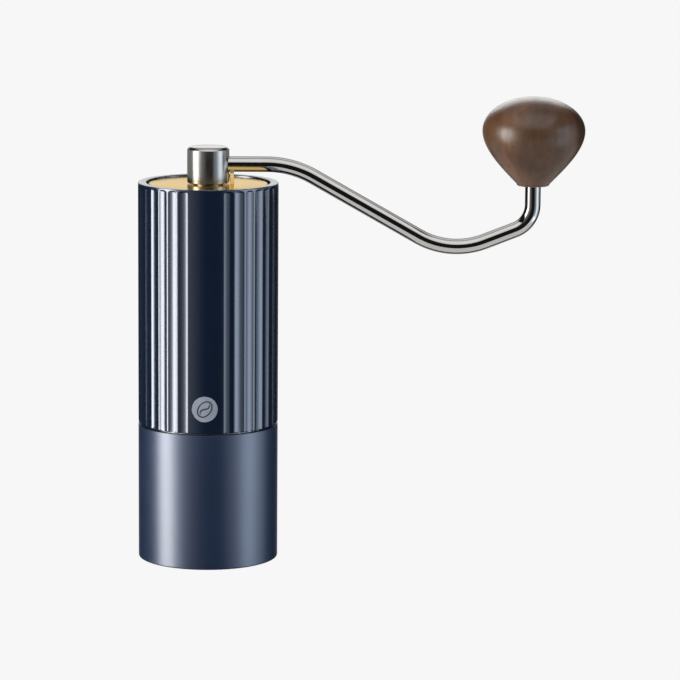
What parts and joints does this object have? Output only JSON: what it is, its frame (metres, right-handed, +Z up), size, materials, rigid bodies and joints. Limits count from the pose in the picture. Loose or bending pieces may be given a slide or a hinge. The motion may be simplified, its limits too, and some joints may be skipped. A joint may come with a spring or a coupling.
{
  "type": "hand crank coffee grinder",
  "caption": "Hand coffee grinder with a fluted aluminium body, lift-off lid and crank with a wooden knob, conical burrs on a ball-bearing shaft, adjusting dial and a pull-off catch cup.",
  "frame": {"origin": "centre of the base pad's underside, on the axis of the body", "axes": "+Z up along the body and the drive shaft, +X along the crank arm at rest, -Y out of the plain panel on the front of the fluted shell"},
  "size_m": [0.1652, 0.052, 0.1735],
  "materials": {
    "blue_anodised": "navy blue anodised, satin gloss",
    "gold_anodised": "gold anodised, glossy",
    "polished_steel": "polished stainless steel",
    "spring_steel": "oiled spring steel",
    "burr_steel": "ground hardened steel",
    "bearing_steel": "ground bearing steel",
    "satin_aluminium": "turned, clear anodised",
    "black_plastic": "fine satin moulded",
    "black_rubber": "matt silicone rubber",
    "walnut": "turned walnut, satin oil finish",
    "bronze": "turned bronze bush"
  },
  "bodies": {
    "cup": {"catch_cup": "blue_anodised", "base_pad": "black_rubber"},
    "grinder": {"fluted_shell": "blue_anodised", "inner_barrel": "satin_aluminium", "spigot_o_ring": "black_rubber", "top_bridge": "satin_aluminium", "lower_bridge": "satin_aluminium", "top_snap_ring": "spring_steel", "lower_snap_ring": "spring_steel", "upper_outer_race": "bearing_steel", "lower_outer_race": "bearing_steel", "ring_burr": "burr_steel", "burr_retainer": "satin_aluminium", "burr_screw_1": "spring_steel", "burr_screw_2": "spring_steel", "burr_screw_3": "spring_steel"},
    "upper_balls": {"upper_ball_cage": "bearing_steel"},
    "lower_balls": {"lower_ball_cage": "bearing_steel"},
    "spindle": {"drive_shaft": "polished_steel", "upper_inner_race": "bearing_steel", "lower_inner_race": "bearing_steel", "upper_shaft_clip": "spring_steel", "lower_shaft_clip": "spring_steel", "burr_spring": "spring_steel", "spring_washer": "spring_steel"},
    "inner_burr": {"cone_burr": "burr_steel", "click_plate": "black_plastic", "detent_ball_1": "bearing_steel", "detent_ball_2": "bearing_steel", "detent_spring_1": "spring_steel", "detent_spring_2": "spring_steel"},
    "dial": {"adjusting_dial": "satin_aluminium"},
    "crank": {"crank_hub": "polished_steel", "crank_arm": "polished_steel", "arm_grub_screw": "spring_steel", "lid_plate": "gold_anodised", "lid_ring": "black_plastic", "lid_screw_1": "spring_steel", "lid_screw_2": "spring_steel", "lid_screw_3": "spring_steel", "lid_washer": "spring_steel", "lid_clip": "spring_steel", "knob_clip": "spring_steel"},
    "knob": {"wooden_knob": "walnut", "lower_knob_bush": "bronze", "upper_knob_bush": "bronze"}
  },
  "joints": [
    {"name": "grinder_lift", "type": "slide", "parent": "cup", "child": "grinder", "axis": [0, 0, 1], "range_m": [0, 0.06]},
    {"name": "spindle_spin", "type": "hinge", "parent": "grinder", "child": "spindle", "pos_m": [0, 0, 0.1], "axis": [0, 0, 1], "continuous": true},
    {"name": "upper_balls_spin", "type": "hinge", "parent": "grinder", "child": "upper_balls", "pos_m": [0, 0, 0.1235], "axis": [0, 0, 1], "continuous": true},
    {"name": "lower_balls_spin", "type": "hinge", "parent": "grinder", "child": "lower_balls", "pos_m": [0, 0, 0.072], "axis": [0, 0, 1], "continuous": true},
    {"name": "burr_gap", "type": "slide", "parent": "spindle", "child": "inner_burr", "axis": [0, 0, 1], "range_m": [-0.00075, 0.00056], "deforming": ["burr_spring"]},
    {"name": "dial_turn", "type": "hinge", "parent": "inner_burr", "child": "dial", "pos_m": [0, 0, 0.039], "axis": [0, 0, 1], "range_deg": [-360, 270]},
    {"name": "crank_lift", "type": "slide", "parent": "spindle", "child": "crank", "axis": [0, 0, 1], "range_m": [0, 0.05]},
    {"name": "knob_spin", "type": "hinge", "parent": "crank", "child": "knob", "pos_m": [0.1202, 0, 0.15], "axis": [0, 0, 1], "continuous": true}
  ],
  "couplings": [
    {"joint": "upper_balls_spin", "follows": "spindle_spin", "ratio": 0.39},
    {"joint": "lower_balls_spin", "follows": "spindle_spin", "ratio": 0.39},
    {"joint": "dial_turn", "follows": "burr_gap", "rad_per_m": 8377.6}
  ]
}
